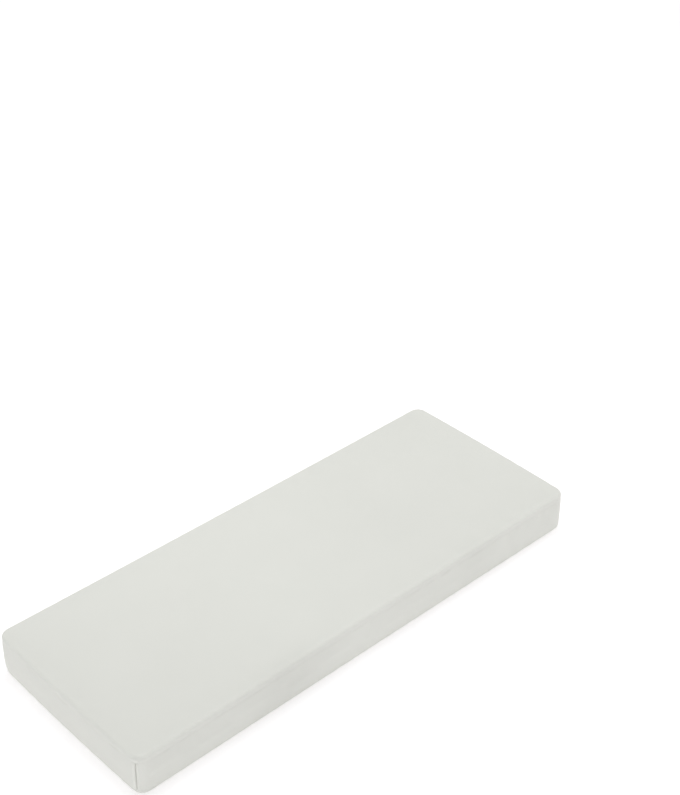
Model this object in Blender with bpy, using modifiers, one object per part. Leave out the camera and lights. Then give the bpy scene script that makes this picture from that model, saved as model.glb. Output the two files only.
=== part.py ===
"""A long box cushion for a seat, modelled lying on its back.

Metres, +Z up. The origin is under the middle of the cushion, on the surface that it lies on.
Its long side runs along X and its depth along Y. The cover has a top panel, a bottom panel and
a boxing strip round the sides, sewn over one firm foam block, so the whole is one filled solid.
"""

from math import hypot

import bmesh
import bpy
from mathutils import Matrix, Vector

# Driving sizes
LENGTH = 1.150  # over the fullest part of the two ends
DEPTH = 0.452  # front to back at the corners, over the boxing
RIM_HEIGHT = 0.0955  # the top panel's height along its edge
CROWN = 0.0050  # how far the middle of the top panel stands above its edge
CORNER_RADIUS = 0.024  # the upright corners, in plan
TOP_EDGE_RADIUS = 0.006  # the top panel's edge, crisp over the foam
BOTTOM_EDGE_RADIUS = 0.012  # the bottom panel's edge, which the weight presses rounder

# What the filling does to the box
END_BELLY = 0.003  # the short ends swell outwards between the corners
SIDE_WAIST = 0.001  # the long sides draw in between the corners
BOXING_SWELL = 0.0015  # the boxing swells between its two long seams

# Seams, as soft grooves
SEAM_FROM_FACE = 0.013  # the seams round the panels, from each face
SEAM_REACH = 0.0035  # half of a groove's width
SEAM_SINK = 0.0030  # how far a seam pulls the cloth in
CORNER_SEAM = 0.0125  # the upright seams on the short ends, from each square corner

# The cage is a box cut by grid lines. Each row gives the lines' distances from the two faces
# across that axis, and the equal bays into which the stretch between the last ones is cut.
CAGE = {
    "along": {
        "axis": 0,
        "size": LENGTH,
        "from_faces": (0.0035, TOP_EDGE_RADIUS, BOTTOM_EDGE_RADIUS, 0.018, CORNER_RADIUS),
        "bays": 8,
    },
    "across": {
        "axis": 1,
        "size": DEPTH,
        "from_faces": (
            0.0035,
            CORNER_SEAM - SEAM_REACH,
            CORNER_SEAM,
            CORNER_SEAM + SEAM_REACH,
            CORNER_RADIUS,
        ),
        "bays": 4,
    },
    "up": {
        "axis": 2,
        "size": RIM_HEIGHT,
        "from_faces": (
            0.0035,
            TOP_EDGE_RADIUS,
            SEAM_FROM_FACE - SEAM_REACH,
            SEAM_FROM_FACE,
            SEAM_FROM_FACE + SEAM_REACH,
        ),
        "bays": 2,
    },
}
SMOOTHING = 1  # levels of Subdivision Surface over the cage
SAME_PLACE = 1e-6

CLOTH_COLOR = (0.740, 0.745, 0.705, 1.0)
CLOTH_ROUGHNESS = 0.9


def line_places(size, from_faces, bays):
    """Where the grid lines of one axis lie, measured from the middle of the box."""
    middle = size / 2 - from_faces[-1]
    near_faces = [side * (size / 2 - line) for line in from_faces for side in (-1, 1)]
    return near_faces + [middle * (2 * i / bays - 1) for i in range(1, bays)]


def gridded_box():
    """The square block of the cushion, cut along every grid line."""
    cage = bmesh.new()
    middle = Vector((0, 0, RIM_HEIGHT / 2))
    stand = Matrix.Translation(middle) @ Matrix.Diagonal((LENGTH, DEPTH, RIM_HEIGHT, 1))
    bmesh.ops.create_cube(cage, size=1, matrix=stand)
    for row in CAGE.values():
        normal = Vector((0, 0, 0))
        normal[row["axis"]] = 1
        for place in line_places(row["size"], row["from_faces"], row["bays"]):
            everything = cage.verts[:] + cage.edges[:] + cage.faces[:]
            point = middle + normal * place
            bmesh.ops.bisect_plane(
                cage, geom=everything, dist=SAME_PLACE, plane_co=point, plane_no=normal
            )
    return cage


def rolled(inset, drop, radius):
    """Where a point near the square edge of a panel lies on its rolled edge."""
    across = radius - inset
    up = radius - drop
    if across <= 0 or up <= 0:
        return inset, drop
    shrink = max(across, up) / hypot(across, up)
    return radius - across * shrink, radius - up * shrink


def bow(share):
    """1 in the middle of a side, 0 at its corners."""
    return 1 - share * share


def seam_pull(x, y, z):
    """How far the seams pull a point of the boxing inwards."""
    from_face = min(z, RIM_HEIGHT - z)
    on_end = abs(x) > LENGTH / 2 - SAME_PLACE
    from_corner = DEPTH / 2 - abs(y)
    on_round_seam = abs(from_face - SEAM_FROM_FACE) < SAME_PLACE
    on_corner_seam = on_end and abs(from_corner - CORNER_SEAM) < SAME_PLACE
    if on_round_seam or (on_corner_seam and from_face > SEAM_FROM_FACE):
        return SEAM_SINK
    return 0


def cushion_point(x, y, z):
    """Where a point of the square block lies on the filled cushion."""
    long_core = LENGTH / 2 - CORNER_RADIUS
    short_core = DEPTH / 2 - CORNER_RADIUS
    core = Vector((max(-long_core, min(long_core, x)), max(-short_core, min(short_core, y))))
    reach = Vector((x, y)) - core
    inset = CORNER_RADIUS - max(abs(reach.x), abs(reach.y))
    on_boxing = inset < SAME_PLACE
    on_top = z > RIM_HEIGHT / 2
    if on_top:
        inset, drop = rolled(inset, RIM_HEIGHT - z, TOP_EDGE_RADIUS)
    else:
        inset, drop = rolled(inset, z, BOTTOM_EDGE_RADIUS)

    outwards = CORNER_RADIUS - inset
    if on_boxing:
        up_boxing = (2 * z - RIM_HEIGHT) / (RIM_HEIGHT - 2 * SEAM_FROM_FACE)
        outwards += BOXING_SWELL * max(0, bow(up_boxing)) - seam_pull(x, y, z)
    place = core + reach.normalized() * outwards

    along = 2 * x / LENGTH
    over = 2 * y / DEPTH
    place.x *= 1 - 2 * (BOXING_SWELL + END_BELLY * over * over) / LENGTH
    place.y *= 1 - 2 * (BOXING_SWELL + SIDE_WAIST * bow(along)) / DEPTH
    height = RIM_HEIGHT - drop if on_top else drop
    height *= 1 + CROWN * bow(along * along) * bow(over) / RIM_HEIGHT
    return place.x, place.y, height


def cloth_material():
    cloth = bpy.data.materials.new("off_white_cloth")
    cloth.use_nodes = True
    finish = cloth.node_tree.nodes["Principled BSDF"]
    finish.inputs["Base Color"].default_value = CLOTH_COLOR
    finish.inputs["Roughness"].default_value = CLOTH_ROUGHNESS
    finish.inputs["Metallic"].default_value = 0
    cloth.diffuse_color = CLOTH_COLOR
    return cloth


def cushion(collection):
    """The filled cushion: the gridded block, shaped point by point and smoothed."""
    cage = gridded_box()
    for vert in cage.verts:
        vert.co = cushion_point(*vert.co)
    bmesh.ops.recalc_face_normals(cage, faces=cage.faces[:])
    mesh = bpy.data.meshes.new("cushion")
    cage.to_mesh(mesh)
    cage.free()
    mesh.shade_smooth()
    mesh.materials.append(cloth_material())
    piece = bpy.data.objects.new("cushion", mesh)
    collection.objects.link(piece)
    smooth = piece.modifiers.new("Subdivision", "SUBSURF")
    smooth.levels = SMOOTHING
    smooth.render_levels = SMOOTHING
    return piece


def main():
    for old in list(bpy.data.objects):
        bpy.data.objects.remove(old)
    parts = bpy.data.collections.new("bench_cushion")
    bpy.context.scene.collection.children.link(parts)
    cushion(parts)


main()
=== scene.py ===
import math

import bpy
import numpy as np
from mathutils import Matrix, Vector


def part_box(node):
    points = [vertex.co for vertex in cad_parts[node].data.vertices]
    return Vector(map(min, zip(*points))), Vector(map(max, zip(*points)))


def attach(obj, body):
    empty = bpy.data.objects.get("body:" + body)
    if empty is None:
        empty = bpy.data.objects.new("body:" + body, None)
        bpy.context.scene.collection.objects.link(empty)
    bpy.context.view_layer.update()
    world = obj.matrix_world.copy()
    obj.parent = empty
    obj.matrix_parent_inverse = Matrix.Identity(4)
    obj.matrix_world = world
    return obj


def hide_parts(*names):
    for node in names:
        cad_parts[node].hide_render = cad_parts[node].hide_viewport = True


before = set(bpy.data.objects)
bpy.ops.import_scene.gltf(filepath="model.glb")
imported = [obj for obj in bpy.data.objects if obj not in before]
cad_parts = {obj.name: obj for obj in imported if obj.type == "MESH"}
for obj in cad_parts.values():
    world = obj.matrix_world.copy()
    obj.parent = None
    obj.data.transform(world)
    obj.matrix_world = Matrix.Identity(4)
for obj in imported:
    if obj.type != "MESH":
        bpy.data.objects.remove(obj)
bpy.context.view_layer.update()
scene = bpy.context.scene


# The camera stands off the left front corner and looks down at the cushion's face.
cameraView = {
    "turn": -42.683,  # degrees round from straight in front, towards the left end
    "rise": 33.903,  # degrees above the floor
    "distance": 3.822,  # metres from the point looked at
    "lookAt": (0.5570, 0.4774, 0.0),  # on the floor, past the cushion's far side
    "lens": 70.44,  # mm, on a 36 mm sensor along the picture's height
    "farthest": 60,  # metres
}


def makeCamera(view):
    turn, rise = math.radians(view["turn"]), math.radians(view["rise"])
    back = Vector((math.sin(turn) * math.cos(rise), -math.cos(turn) * math.cos(rise), math.sin(rise)))
    data = bpy.data.cameras.new("camera")
    data.lens = view["lens"]
    data.clip_end = view["farthest"]
    camera = bpy.data.objects.new("camera", data)
    camera.location = Vector(view["lookAt"]) + back * view["distance"]
    camera.rotation_euler = back.to_track_quat("Z", "Y").to_euler()
    scene.collection.objects.link(camera)
    scene.camera = camera


makeCamera(cameraView)
print("camera set")


# The cushion: one sewn cover over a firm filling. Metres, unless a note says otherwise.
cushion = {
    # the filled form
    "solidCrown": 0.0050,  # the crown of the plain solid that the cover stands for
    "crown": 0.0035,  # the middle of the top panel above its edge, before it is blown up
    "cornerRadius": 0.0236,  # the upright corners, in plan
    "topEdge": 0.0058,  # radius of the top panel's edge
    "bottomEdge": 0.0124,
    "endBelly": 0.0030,  # the short ends swell between the corners
    "sideWaist": 0.0010,  # the long sides draw in between the corners
    "boxingSwell": 0.0008,  # the boxing swells between its two long seams
    # the mesh, close at the seams and open between them
    "seamGrid": 0.0007,
    "rimGrid": 0.0028,
    "panelGrid": 0.0050,
    "gridReach": (0.05, 0.04, 0.03),  # how far from a seam it is fully open: along, across and up
    # the filling, blown up against the seams
    "trialGrid": 0.010,
    "pressure": 4.0,
    "frames": 20,
    "quality": 6,  # steps in a frame
    "tension": 60.0,
    "bending": 40.0,
    "slack": 0.004,  # share of spare cloth beside the seams
    "slackReach": 0.05,
    "slackUneven": 0.6,  # how much that share varies, over slackLength
    "slackLength": 0.3,
    "foamHold": 0.05,  # how firmly the foam carries the cloth, where a seam's hold is 1
    "rimHold": 0.8,
    "rimReach": 0.02,
    "mostMove": 0.0045,
    "fillShare": 0.5,  # share of the simulated move that is kept
    # the two round seams
    "seamFromFace": 0.0130,
    "seamDepth": 0.0010,
    "seamWidth": 0.0017,
    "seamStray": 0.0012,  # how far a seam strays from its line, over strayLength
    "strayLength": 0.09,
    "fullness": (0.25, 1.2),  # the groove's least and greatest share of its depth
    "fullnessMiddle": 0.35,
    "fullnessSwing": 0.55,
    "fullnessLength": 0.07,
    "lipHeight": 0.00008,  # the cloth stands up on both sides of a seam
    "lipFromSeam": 0.0075,
    "lipWidth": 0.003,
    "puckerHeight": 0.0005,
    "puckerLength": 0.032,
    "puckerReach": 0.014,
    # the upright corner seams, on the ends
    "cornerSeam": 0.0125,  # from each square corner
    "cornerLean": 0.0045,  # how much nearer the corner they are at the top
    "cornerStray": 0.0004,
    "cornerStrayLength": 0.05,
    "cornerFade": 0.004,  # they run out this far from the round seams
    "cornerDepth": 0.0022,
    "cornerWidth": 0.0012,
    "cornerLipHeight": 0.0008,
    "cornerLipFromSeam": 0.0048,
    "cornerLipWidth": 0.0024,
    "meetingDepth": 0.0008,  # the pull where two seams meet
    "meetingReach": 0.005,
    "tucks": 4,  # where the top panel turns a corner
    "tuckHeight": 0.0003,
    "tuckReach": 0.010,
    # what handling leaves
    "edgeReach": 0.05,  # how far in from an edge its own waves go
    "cornerReach": 0.02,  # and how far from a corner they stop
    "topWave": 0.0006,
    "topWaveLength": 0.24,
    "topWaveFromRim": 0.04,
    "sideWave": 0.0008,
    "sideWaveLength": 0.15,
    # light and shade painted into the cloth's colour: shares of its own colour, lighter above nought
    "seamShade": 0.13,  # painted shade in the round seams
    "seamShadeLeast": 0.4,  # share of it where a round seam is slack
    "cornerShade": (0.45, 1.0),  # painted shade in the corner seams, at the bottom and the top
    "cornerShadeAt": (0.1, 0.6),  # shares of the height for those two
    "shadeWidth": 0.0009,
    "gatherReach": 0.007,  # how far small puckers go from a seam
    "cornerLipHighlight": 0.060,  # painted highlight on the cloth standing up beside the corner seams
    "sideRimHighlight": 0.047,  # painted highlight along the top's long edges
    "endRimHighlight": 0.012,
    "rimHighlightWidth": 0.0052,
    "rimHighlightTurn": 0.03,  # over which one edge's painted highlight gives way to the next
    # painted light and shade, as faint lighter and darker places: middle, reach each way, share. The ones on
    # the top and by the near left corner seam stand for how the light falls there; the three on the near
    # long side make it darker and lighter in patches
    "shades": (
        ((-0.225, -0.226, 0.04), (0.085, 0.03, 0.09), -0.052),
        ((-0.03, -0.226, 0.04), (0.065, 0.03, 0.09), 0.025),
        ((0.290, -0.226, 0.04), (0.040, 0.03, 0.09), -0.025),
        ((-0.563, -0.222, 0.07), (0.014, 0.012, 0.04), 0.035),
        ((-0.11, -0.04, 0.10), (0.130, 0.15, 0.03), 0.012),
        ((-0.38, -0.07, 0.10), (0.080, 0.09, 0.03), -0.010),
        ((-0.30, 0.17, 0.10), (0.200, 0.06, 0.03), 0.013),
        ((0.22, -0.05, 0.10), (0.140, 0.14, 0.03), -0.014),
    ),
    # seeds of the random waves: one that runs along the edges takes the next seed too, for the ends
    "seeds": {"slack": 3, "stray": 11, "fullness": 13, "puckers": 15, "corner": 17, "sides": 18, "top": 20},
}
low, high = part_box("cushion")
length, depth = high.x - low.x, high.y - low.y
rim = high.z - low.z - cushion["solidCrown"]
touching = 1e-6


def gradedLines(lowest, highest, creases, fine, coarse, reach):
    # grid lines that stand close together at the creases and spread out away from them
    along = np.linspace(lowest, highest, 4001)
    away = np.min(np.abs(along[:, None] - np.array(creases)), axis=1)
    density = 1 / (fine + (coarse - fine) * np.clip(away / reach, 0, 1))
    count = np.concatenate([[0], np.cumsum((density[1:] + density[:-1]) / 2 * np.diff(along))])
    return np.interp(np.linspace(0, count[-1], round(count[-1]) + 1), count, along)


def boxSkin(lines):
    # a closed box skin of quads on three sets of grid lines
    shape = [len(axisLines) for axisLines in lines]
    onSkin = np.zeros(shape, bool)
    onSkin[[0, -1]] = onSkin[:, [0, -1]] = onSkin[:, :, [0, -1]] = True
    number = np.full(shape, -1)
    number[onSkin] = np.arange(onSkin.sum())
    steps = np.argwhere(onSkin)
    faces = []
    for axis in range(3):
        for end in (0, -1):
            side = np.take(number, end, axis)
            quads = np.stack([side[:-1, :-1], side[1:, :-1], side[1:, 1:], side[:-1, 1:]], -1).reshape(-1, 4)
            inwards = (end == 0) != (axis == 1)
            faces.append(quads[:, ::-1] if inwards else quads)
    points = np.stack([lines[axis][steps[:, axis]] for axis in range(3)], 1)
    return {"lines": lines, "number": number, "points": points, "faces": np.concatenate(faces)}


def rolledEdge(inset, drop, radius):
    # where points near a square edge lie once the edge is rolled
    across, up = radius - inset, radius - drop
    near = (across > 0) & (up > 0)
    shrink = np.where(near, np.maximum(across, up) / np.maximum(np.hypot(across, up), 1e-9), 1)
    return radius - across * shrink, radius - up * shrink


def filledForm(box):
    # the cushion without its seams, at each point of its square block
    radius = cushion["cornerRadius"]
    straight = np.array([length / 2 - radius, depth / 2 - radius])
    core = np.clip(box[:, :2], -straight, straight)
    reach = box[:, :2] - core
    inset = radius - np.abs(reach).max(1)
    onBoxing = inset < touching
    onTop = box[:, 2] > rim / 2
    fromFace = np.where(onTop, rim - box[:, 2], box[:, 2])
    inset, drop = rolledEdge(inset, fromFace, np.where(onTop, cushion["topEdge"], cushion["bottomEdge"]))
    outwards = reach / np.maximum(np.hypot(*reach.T), 1e-9)[:, None]

    upBoxing = (2 * box[:, 2] - rim) / (rim - 2 * cushion["seamFromFace"])
    swell = np.where(onBoxing, cushion["boxingSwell"] * np.clip(1 - upBoxing**2, 0, 1), 0)
    place = core + outwards * (radius - inset + swell)[:, None]

    along, over = 2 * box[:, 0] / length, 2 * box[:, 1] / depth
    place[:, 0] *= 1 - 2 * (cushion["boxingSwell"] + cushion["endBelly"] * over**2) / length
    place[:, 1] *= 1 - 2 * (cushion["boxingSwell"] + cushion["sideWaist"] * (1 - along**2)) / depth
    height = np.where(onTop, rim - drop, drop)
    height *= 1 + cushion["crown"] * (1 - along**4) * (1 - over**2) / rim
    return np.column_stack([place, height])


def clothDistances(box):
    # how far each point lies from the cover's features, along the cloth
    x, y, z = np.abs(box[:, 0]), np.abs(box[:, 1]), box[:, 2]
    fromEnd, fromSide = length / 2 - x, depth / 2 - y
    overFace = np.minimum(fromEnd, fromSide)
    fromFace = np.minimum(z, rim - z)
    onFace = fromFace < touching
    return {
        "end": fromEnd,
        "side": fromSide,
        "upper": z > rim / 2,
        "onEnd": fromEnd < touching,
        "onTop": z > rim - touching,
        "underside": z < touching,
        "rim": np.where(onFace, overFace, fromFace),
        "seam": np.where(onFace, -overFace, fromFace) - cushion["seamFromFace"],
    }


def wander(along, waveLength, seed, waves=11):
    # smooth random ups and downs of about 1, along one or more coordinates
    random = np.random.default_rng(seed)
    along = along.reshape(len(along), -1)
    total = np.zeros(len(along))
    for _ in range(waves):
        heading = random.normal(size=along.shape[1])
        turns = along @ heading / np.linalg.norm(heading) / (waveLength * random.uniform(0.65, 1.6))
        total += np.sin(2 * math.pi * (turns + random.random()))
    return total / math.sqrt(2 * waves)


def paintGroup(piece, name, weights):
    group = piece.vertex_groups.new(name=name)
    for i, weight in enumerate(weights):
        group.add([i], float(weight), "REPLACE")


def holdAndSlack(points):
    # how firmly each point of the cover is held, and how loose its cloth is
    away = clothDistances(points)
    sewn = (np.abs(away["seam"]) < touching) | away["underside"]
    atRim = np.where(away["upper"], np.exp(-((away["rim"] / cushion["rimReach"]) ** 2)), 0)
    hold = cushion["foamHold"] + (cushion["rimHold"] - cushion["foamHold"]) * atRim
    uneven = 1 + cushion["slackUneven"] * wander(points, cushion["slackLength"], cushion["seeds"]["slack"])
    loose = np.clip(uneven * np.exp(-np.abs(away["seam"]) / cushion["slackReach"]), 0, 1)
    return np.where(sewn, 1, hold), loose


def blownCloth():
    # a coarser cover, blown up against its seams: its grid, and how far each point moved
    step, seam = cushion["trialGrid"], cushion["seamFromFace"]
    upLines = np.linspace(seam, rim - seam, round((rim - 2 * seam) / step) + 1)
    skin = boxSkin([
        np.linspace(-length / 2, length / 2, round(length / step) + 1),
        np.linspace(-depth / 2, depth / 2, round(depth / step) + 1),
        np.concatenate([[0, seam / 2], upLines, [rim - seam / 2, rim]]),
    ])
    start = filledForm(skin["points"])
    mesh = bpy.data.meshes.new("blown_trial")
    mesh.from_pydata(start.tolist(), [], skin["faces"].tolist())
    trial = bpy.data.objects.new("blown_trial", mesh)
    scene.collection.objects.link(trial)
    held, loose = holdAndSlack(skin["points"])
    paintGroup(trial, "held", held)
    paintGroup(trial, "tight", 1 - loose)

    cloth = trial.modifiers.new("Cloth", "CLOTH").settings
    cloth.quality = cushion["quality"]
    cloth.use_pressure = True
    cloth.uniform_pressure_force = cushion["pressure"]
    cloth.effector_weights.gravity = 0
    cloth.tension_stiffness = cloth.compression_stiffness = cushion["tension"]
    cloth.shear_stiffness = cushion["tension"] / 2
    cloth.bending_stiffness = cushion["bending"]
    cloth.vertex_group_mass = "held"
    cloth.vertex_group_shrink = "tight"
    cloth.shrink_min = -cushion["slack"]
    cloth.shrink_max = 0
    for moment in range(1, cushion["frames"] + 1):
        scene.frame_set(moment)
    blown = trial.evaluated_get(bpy.context.evaluated_depsgraph_get()).data
    moved = np.empty(len(start) * 3)
    blown.vertices.foreach_get("co", moved)
    moved = moved.reshape(-1, 3) - start
    bpy.data.objects.remove(trial)
    bpy.data.meshes.remove(mesh)
    scene.frame_set(1)
    far = np.linalg.norm(moved, axis=1)[:, None]
    most = cushion["mostMove"]
    print("cloth blown up, moved", far.mean().round(4), "m, at most", far.max().round(4), "m")
    return skin, cushion["fillShare"] * moved * most * np.tanh(far / most) / np.maximum(far, 1e-9)


def refine(values, coarse, fine):
    # a smooth curve through values on coarse grid lines, read at fine ones
    slope = np.gradient(values, coarse, axis=0)
    cell = np.clip(np.searchsorted(coarse, fine, side="right") - 1, 0, len(coarse) - 2)
    step = (coarse[cell + 1] - coarse[cell]).reshape((-1,) + (1,) * (values.ndim - 1))
    t = (fine - coarse[cell]).reshape(step.shape) / step
    ahead = t**2 * (3 - 2 * t)
    bend = step * t * (1 - t) * ((1 - t) * slope[cell] - t * slope[cell + 1])
    return values[cell] * (1 - ahead) + values[cell + 1] * ahead + bend


def spreadMove(moved, trial, skin):
    # the coarser cover's moves, carried over to the finer one
    spread = np.zeros_like(skin["points"])
    for axis in range(3):
        u, v = [other for other in range(3) if other != axis]
        for end in (0, -1):
            values = moved[np.take(trial["number"], end, axis)]
            values = refine(values, trial["lines"][u], skin["lines"][u]).swapaxes(0, 1)
            values = refine(values, trial["lines"][v], skin["lines"][v]).swapaxes(0, 1)
            spread[np.take(skin["number"], end, axis)] = values
    return spread


def bump(distance, width):
    return np.exp(-((distance / width) ** 2))


def alongEdges(box, away):
    # for the long sides and for the ends: the place along the edge, and how much the edge counts.
    # Each edge has a stretch of its own, so that no two have the same waves.
    x, y = box[:, 0], box[:, 1]
    reach, corner = cushion["edgeReach"], cushion["cornerReach"]
    bySide = bump(away["side"], reach) * (1 - bump(away["end"], corner))
    byEnd = bump(away["end"], reach) * (1 - bump(away["side"], corner))
    return (
        (x + 3.1 * (y > 0) + 7.3 * away["upper"], bySide),
        (y + 5.7 * (x > 0) + 9.1 * away["upper"], byEnd),
    )


def edgeWaves(edges, waveLength, seed):
    # random ups and downs along the edges, with none at the corners
    return sum(share * wander(along, waveLength, seed + i) for i, (along, share) in enumerate(edges))


def roundSeams(away, edges):
    # broken grooves between two lips, with puckers that run out from them
    seeds = cushion["seeds"]
    fromSeam = away["seam"] + cushion["seamStray"] * edgeWaves(edges, cushion["strayLength"], seeds["stray"])
    swing = cushion["fullnessSwing"] * edgeWaves(edges, cushion["fullnessLength"], seeds["fullness"])
    fullness = np.clip(cushion["fullnessMiddle"] + swing, *cushion["fullness"])
    groove = bump(fromSeam, cushion["seamWidth"])
    height = -cushion["seamDepth"] * fullness * groove
    height += cushion["lipHeight"] * bump(np.abs(fromSeam) - cushion["lipFromSeam"], cushion["lipWidth"])
    puckers = edgeWaves(edges, cushion["puckerLength"], seeds["puckers"]) * (1 - groove)
    height += cushion["puckerHeight"] * puckers * np.exp(-np.abs(fromSeam) / cushion["puckerReach"])
    return {"away": fromSeam, "fullness": fullness, "height": height}


def cornerSeams(z, away, roundSeam):
    # upright grooves between the round seams, with the cloth standing up on both sides
    fromSeam = away["side"] - cushion["cornerSeam"] + cushion["cornerLean"] * z / rim
    fromSeam = np.where(away["onEnd"], fromSeam, 1)
    fromSeam += cushion["cornerStray"] * wander(z, cushion["cornerStrayLength"], cushion["seeds"]["corner"])
    between = np.clip(away["seam"] / cushion["cornerFade"], 0, 1)
    lips = bump(np.abs(fromSeam) - cushion["cornerLipFromSeam"], cushion["cornerLipWidth"]) * between
    height = cushion["cornerLipHeight"] * lips
    height -= cushion["cornerDepth"] * bump(fromSeam, cushion["cornerWidth"]) * between
    height -= cushion["meetingDepth"] * bump(np.hypot(fromSeam, roundSeam["away"]), cushion["meetingReach"])
    return {"away": fromSeam, "between": between, "lips": lips, "height": height}


def cornerTucks(x, y, away):
    # small tucks where the top panel turns a corner
    radius = cushion["cornerRadius"]
    turn = np.arctan2(np.clip(radius - away["side"], 0, None), np.clip(radius - away["end"], 0, None))
    tucks = np.sin(4 * cushion["tucks"] * turn + 2 * np.sign(x) + np.sign(y))
    tucks *= np.sin(2 * turn) ** 2 * away["upper"]
    return cushion["tuckHeight"] * tucks * bump(away["rim"], cushion["tuckReach"])


def handlingWaves(box, away, edges):
    # slow waves in the boxing and in the top panel
    sideWaves = edgeWaves(edges, cushion["sideWaveLength"], cushion["seeds"]["sides"])
    height = cushion["sideWave"] * sideWaves * np.sin(math.pi * box[:, 2] / rim) ** 2
    onTop = np.where(away["onTop"], 1 - bump(away["rim"], cushion["topWaveFromRim"]), 0)
    topWaves = wander(box[:, :2], cushion["topWaveLength"], cushion["seeds"]["top"])
    return height + cushion["topWave"] * onTop * topWaves


def clothMarks(box, away, roundSeam, cornerSeam):
    # what the cloth is told at each point: how much painted shade its seams get, how gathered it is, and how
    # much painted light and shade it gets
    width, reach = cushion["shadeWidth"], cushion["gatherReach"]
    least = cushion["seamShadeLeast"]
    # painted shade in the round seams' grooves, less where a seam is slack, and in the corner seams' grooves
    roundSeamShade = cushion["seamShade"] * (least + (1 - least) * roundSeam["fullness"])
    roundSeamShade *= bump(roundSeam["away"], width)
    cornerSeamShade = np.interp(box[:, 2] / rim, cushion["cornerShadeAt"], cushion["cornerShade"])
    cornerSeamShade *= bump(cornerSeam["away"], width) * cornerSeam["between"]
    gathered = bump(cornerSeam["away"], reach) * cornerSeam["between"]
    gathered = np.maximum(bump(roundSeam["away"], reach), gathered)

    # painted highlight along the top panel's rolled edge, stronger along the long sides than along the ends
    atSide = np.clip(0.5 + (away["end"] - away["side"]) / cushion["rimHighlightTurn"], 0, 1)
    rimHighlight = cushion["endRimHighlight"] + (cushion["sideRimHighlight"] - cushion["endRimHighlight"]) * atSide
    paintedLightAndShade = rimHighlight * bump(away["rim"], cushion["rimHighlightWidth"]) * away["upper"]
    # painted highlight on the cloth standing up beside the corner seams
    paintedLightAndShade += cushion["cornerLipHighlight"] * cornerSeam["lips"]
    # painted light and shade in the listed places
    for middle, reach, share in cushion["shades"]:
        paintedLightAndShade += share * np.exp(-(((box - np.array(middle)) / np.array(reach)) ** 2).sum(1))
    return {"seamShadeMask": np.maximum(roundSeamShade, cornerSeamShade), "gathered": gathered, "paintedLightAndShade": paintedLightAndShade}


def sewAndHandle(box):
    # how far sewing and handling lift the cover off its filled form, and what the cloth is told
    away = clothDistances(box)
    edges = alongEdges(box, away)
    roundSeam = roundSeams(away, edges)
    cornerSeam = cornerSeams(box[:, 2], away, roundSeam)
    height = roundSeam["height"] + cornerSeam["height"] + cornerTucks(box[:, 0], box[:, 1], away)
    height += handlingWaves(box, away, edges)
    return np.where(away["underside"], 0, height), clothMarks(box, away, roundSeam, cornerSeam)


def coverSkin():
    fine, rimGrid, wideGrid = cushion["seamGrid"], cushion["rimGrid"], cushion["panelGrid"]
    seam, corner = cushion["seamFromFace"], depth / 2 - cushion["cornerSeam"]
    cornerTop = corner + cushion["cornerLean"]
    corners, ends = (-cornerTop, -corner, corner, cornerTop), (-length / 2, length / 2)
    along, across, up = cushion["gridReach"]
    return boxSkin([
        gradedLines(-length / 2, length / 2, ends, rimGrid, wideGrid, along),
        gradedLines(-depth / 2, depth / 2, corners, fine, wideGrid, across),
        gradedLines(0, rim, (seam, rim - seam), fine, wideGrid, up),
    ])


def makeCover():
    skin = coverSkin()
    print("cover mesh", skin["number"].shape, "with", len(skin["faces"]), "quads")
    box = skin["points"]
    place = filledForm(box)
    trial, moved = blownCloth()
    place += spreadMove(moved, trial, skin)

    mesh = bpy.data.meshes.new("cushion_cover")
    mesh.from_pydata(place.tolist(), [], skin["faces"].tolist())
    normals = np.empty(len(box) * 3)
    mesh.vertex_normals.foreach_get("vector", normals)
    height, marks = sewAndHandle(box)
    place += normals.reshape(-1, 3) * height[:, None]
    place[:, 2] = np.maximum(place[:, 2], 0)
    mesh.vertices.foreach_set("co", place.ravel())
    for name, values in marks.items():
        mesh.attributes.new(name, "FLOAT", "POINT").data.foreach_set("value", values.astype(np.float32))
    mesh.shade_smooth()
    mesh.update()
    cover = bpy.data.objects.new("cushion_cover", mesh)
    scene.collection.objects.link(cover)
    return cover


# The cover's cloth.
cloth = {
    "color": (0.733, 0.741, 0.697, 1),
    "faded": (0.752, 0.758, 0.714, 1),
    # painted shade in the seam grooves: its dark colour, and the most of it that the cloth takes
    "paintedSeamShade": (0.44, 0.445, 0.41, 1),
    "paintedSeamShadeShare": 0.55,
    "threadPitch": 0.0011,  # metres from thread to thread
    "weaveHeight": 0.00022,
    "weaveStrength": 0.5,
    "driftScale": 45.0,  # how soon the threads drift out of line
    "slubScale": 0.035,  # thick and thin places, shorter for a larger number
    "slubHeight": 0.8,  # their height, in weave heights
    "slubFading": 0.9,
    "gapShade": 0.14,  # painted shade in the gaps between the threads: how much darker they are
    "weaveMean": 0.35,  # the weave's usual height, where the colour is as given
    "puckers": 4.0,  # height of the small puckers by the seams, in weave heights
    "puckerScale": 90.0,
    "mottle": 1.8,
    "mottleScale": 6.0,
    "roughness": (0.82, 0.95),  # on the threads and between them
    "specular": 0.3,
    "sheen": 0.15,
    "sheenRoughness": 0.4,
}


def addNode(tree, kind, inputs=(), **settings):
    made = tree.nodes.new(kind)
    for name, value in settings.items():
        setattr(made, name, value)
    for socket, value in dict(inputs).items():
        if isinstance(value, bpy.types.NodeSocket):
            tree.links.new(value, made.inputs[socket])
        else:
            made.inputs[socket].default_value = value
    return made


def calc(tree, operation, *values):
    made = addNode(tree, "ShaderNodeMath", dict(enumerate(values)), operation=operation)
    return made.outputs[0]


def pick(tree, share, whenLow, whenHigh):
    made = addNode(tree, "ShaderNodeMix", {0: share, 2: whenLow, 3: whenHigh}, data_type="FLOAT")
    return made.outputs[0]


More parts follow.
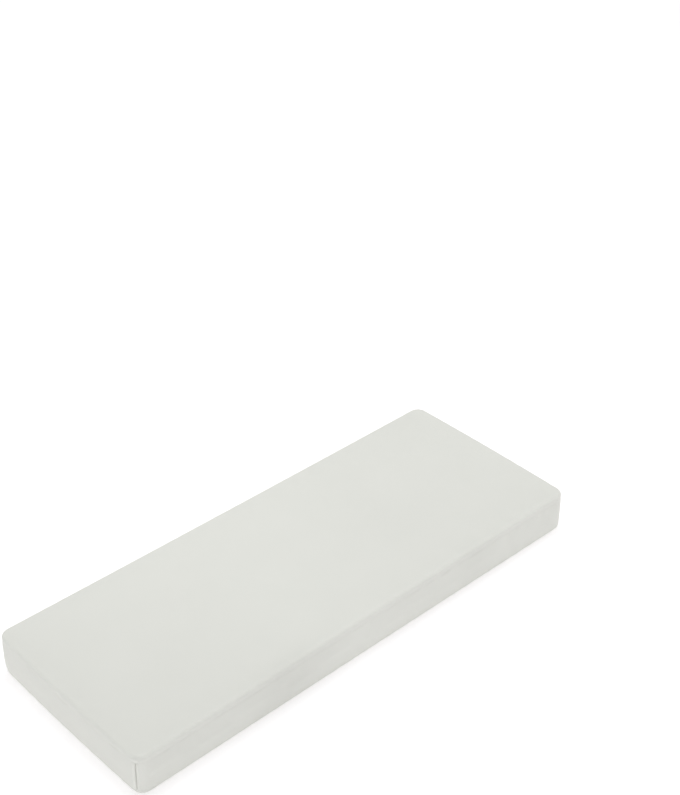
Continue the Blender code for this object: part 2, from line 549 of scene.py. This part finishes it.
def mixColors(tree, share, first, second):
    made = addNode(tree, "ShaderNodeMix", {0: share, 6: first, 7: second}, data_type="RGBA")
    return made.outputs[2]


def mark(tree, name):
    return addNode(tree, "ShaderNodeAttribute", attribute_name=name).outputs["Fac"]


def noise(tree, place, scale, detail, output="Fac", **inputs):
    inputs = {"Vector": place, "Scale": scale, "Detail": detail, **inputs}
    return addNode(tree, "ShaderNodeTexNoise", inputs).outputs[output]


def threadPlaces(tree):
    # the two directions of the threads on the face that a point lies on, counted in threads
    spot = addNode(tree, "ShaderNodeTexCoord")
    place = addNode(tree, "ShaderNodeSeparateXYZ", {0: spot.outputs["Object"]}).outputs
    facing = addNode(tree, "ShaderNodeSeparateXYZ", {0: spot.outputs["Normal"]}).outputs
    facing = [calc(tree, "ABSOLUTE", side) for side in facing]
    onEnd = calc(tree, "GREATER_THAN", facing[0], calc(tree, "MAXIMUM", facing[1], facing[2]))
    onFace = calc(tree, "GREATER_THAN", facing[2], calc(tree, "MAXIMUM", facing[0], facing[1]))
    across = pick(tree, onEnd, place[0], place[1])
    over = pick(tree, onFace, place[2], place[1])
    drift = noise(tree, spot.outputs["Object"], cloth["driftScale"], 1.0, "Color")
    drift = addNode(tree, "ShaderNodeSeparateXYZ", {0: drift}).outputs
    pitch = cloth["threadPitch"]
    across = calc(tree, "ADD", calc(tree, "DIVIDE", across, pitch), drift[0])
    over = calc(tree, "ADD", calc(tree, "DIVIDE", over, pitch), drift[1])
    return spot.outputs["Object"], across, over


def threadNoise(tree, along, across):
    # thick and thin places, long along a thread and one thread wide
    along = calc(tree, "MULTIPLY", along, cloth["slubScale"])
    place = addNode(tree, "ShaderNodeCombineXYZ", {0: along, 1: across})
    return noise(tree, place.outputs[0], 1.0, 2.0)


def plainWeave(tree, across, over):
    # each thread is round, and passes over and under the next
    ridges = [calc(tree, "SINE", calc(tree, "MULTIPLY", way, math.pi)) for way in (across, over)]
    crossing = calc(tree, "MULTIPLY", *ridges)
    warpUp = calc(tree, "GREATER_THAN", crossing, 0.0)
    top = pick(tree, warpUp, calc(tree, "ABSOLUTE", ridges[1]), calc(tree, "ABSOLUTE", ridges[0]))
    weave = calc(tree, "MULTIPLY", top, calc(tree, "SQRT", calc(tree, "ABSOLUTE", crossing)))
    slub = pick(tree, warpUp, threadNoise(tree, across, over), threadNoise(tree, over, across))
    return weave, slub


def clothMaterial():
    material = bpy.data.materials.new("off_white_cloth")
    material.use_nodes = True
    tree = material.node_tree
    finish = tree.nodes["Principled BSDF"]
    spot, across, over = threadPlaces(tree)
    weave, slub = plainWeave(tree, across, over)

    relief = calc(tree, "MULTIPLY_ADD", slub, cloth["slubHeight"], weave)
    puckers = calc(tree, "MULTIPLY", noise(tree, spot, cloth["puckerScale"], 1.0), mark(tree, "gathered"))
    relief = calc(tree, "MULTIPLY_ADD", puckers, cloth["puckers"], relief)
    raised = addNode(tree, "ShaderNodeBump", {
        "Height": relief, "Distance": cloth["weaveHeight"], "Strength": cloth["weaveStrength"],
    })
    tree.links.new(raised.outputs["Normal"], finish.inputs["Normal"])

    mottle = noise(tree, spot, cloth["mottleScale"], 4.0, Roughness=0.6)
    mottle = calc(tree, "MULTIPLY_ADD", mottle, cloth["mottle"], -0.5 * cloth["mottle"])
    fading = calc(tree, "MULTIPLY_ADD", slub, cloth["slubFading"], mottle)
    color = mixColors(tree, fading, cloth["color"], cloth["faded"])
    # painted shade in the gaps between the threads, scaled so that the cloth's mean colour stays as given
    gaps = calc(tree, "MULTIPLY_ADD", weave, cloth["gapShade"], 1 - cloth["weaveMean"] * cloth["gapShade"])
    # painted light and shade from the cover's mesh, lighter above nought, times the painted shade in the
    # gaps between the threads
    light = calc(tree, "MULTIPLY", calc(tree, "ADD", mark(tree, "paintedLightAndShade"), 1.0), gaps)
    color = addNode(tree, "ShaderNodeVectorMath", {0: color, "Scale": light}, operation="SCALE").outputs[0]
    # painted shade in the seam grooves: the colour goes part way towards a dark grey
    paintedSeamShade = calc(tree, "MULTIPLY", mark(tree, "seamShadeMask"), cloth["paintedSeamShadeShare"])
    tree.links.new(mixColors(tree, paintedSeamShade, color, cloth["paintedSeamShade"]), finish.inputs["Base Color"])
    onThread, inGap = cloth["roughness"]
    tree.links.new(pick(tree, weave, inGap, onThread), finish.inputs["Roughness"])
    finish.inputs["Specular IOR Level"].default_value = cloth["specular"]
    finish.inputs["Sheen Weight"].default_value = cloth["sheen"]
    finish.inputs["Sheen Roughness"].default_value = cloth["sheenRoughness"]
    return material


cover = makeCover()
cover.data.materials.append(clothMaterial())
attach(cover, "root")
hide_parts("cushion")
print("cushion made")


# A pale studio: the floor runs out of view, and large soft lights stand round it.
studio = {
    "floorRadius": 30.0,
    "floorColor": (0.935, 0.92, 0.935, 1),
    "floorRoughness": 0.95,
    "floorGlow": 0.29,
    "skyColor": (1.0, 1.0, 1.0, 1),
    "skyStrength": 0.68,
    # name, place, point it faces, size across, watts
    "lights": (
        ("overhead", (0.1, 0.2, 2.0), (0.0, 0.0, 0.0), 1.0, 7.4),
        ("over_left", (-0.3, 0.35, 1.8), (0.0, 0.0, 0.0), 0.9, 2.9),
        ("back_left", (-2.4, 2.8, 2.4), (0.0, 0.0, 0.0), 2.5, 6.5),
        ("left_low", (-2.6, -0.4, 0.45), (0.0, 0.0, 0.0), 0.8, 1.8),
        ("right_low", (3.0, -0.4, 0.8), (0.0, 0.0, 0.0), 1.2, 14.1),
        ("far_floor", (2.6, 2.7, 1.6), (2.6, 2.7, 0.0), 2.5, 6.5),
    ),
}


def makeFloor():
    radius = studio["floorRadius"]
    turns = np.linspace(0, 2 * math.pi, 96, endpoint=False)
    edge = [(radius * math.cos(turn), radius * math.sin(turn), 0) for turn in turns]
    mesh = bpy.data.meshes.new("floor")
    mesh.from_pydata(edge, [], [list(range(len(edge)))])
    floor = bpy.data.objects.new("floor", mesh)
    scene.collection.objects.link(floor)
    material = bpy.data.materials.new("pale_floor")
    material.use_nodes = True
    finish = material.node_tree.nodes["Principled BSDF"]
    finish.inputs["Base Color"].default_value = studio["floorColor"]
    finish.inputs["Roughness"].default_value = studio["floorRoughness"]
    finish.inputs["Emission Color"].default_value = (1, 1, 1, 1)
    finish.inputs["Emission Strength"].default_value = studio["floorGlow"]
    mesh.materials.append(material)


def makeLights():
    for name, place, target, across, watts in studio["lights"]:
        data = bpy.data.lights.new(name, "AREA")
        data.shape = "DISK"
        data.size = across
        data.energy = watts
        light = bpy.data.objects.new(name, data)
        light.location = place
        light.rotation_euler = (Vector(place) - Vector(target)).to_track_quat("Z", "Y").to_euler()
        scene.collection.objects.link(light)


def makeSky():
    world = bpy.data.worlds.new("studio")
    world.use_nodes = True
    background = world.node_tree.nodes["Background"]
    background.inputs["Color"].default_value = studio["skyColor"]
    background.inputs["Strength"].default_value = studio["skyStrength"]
    scene.world = world
    scene.view_settings.view_transform = "Standard"


makeFloor()
makeLights()
makeSky()
print("studio lit")
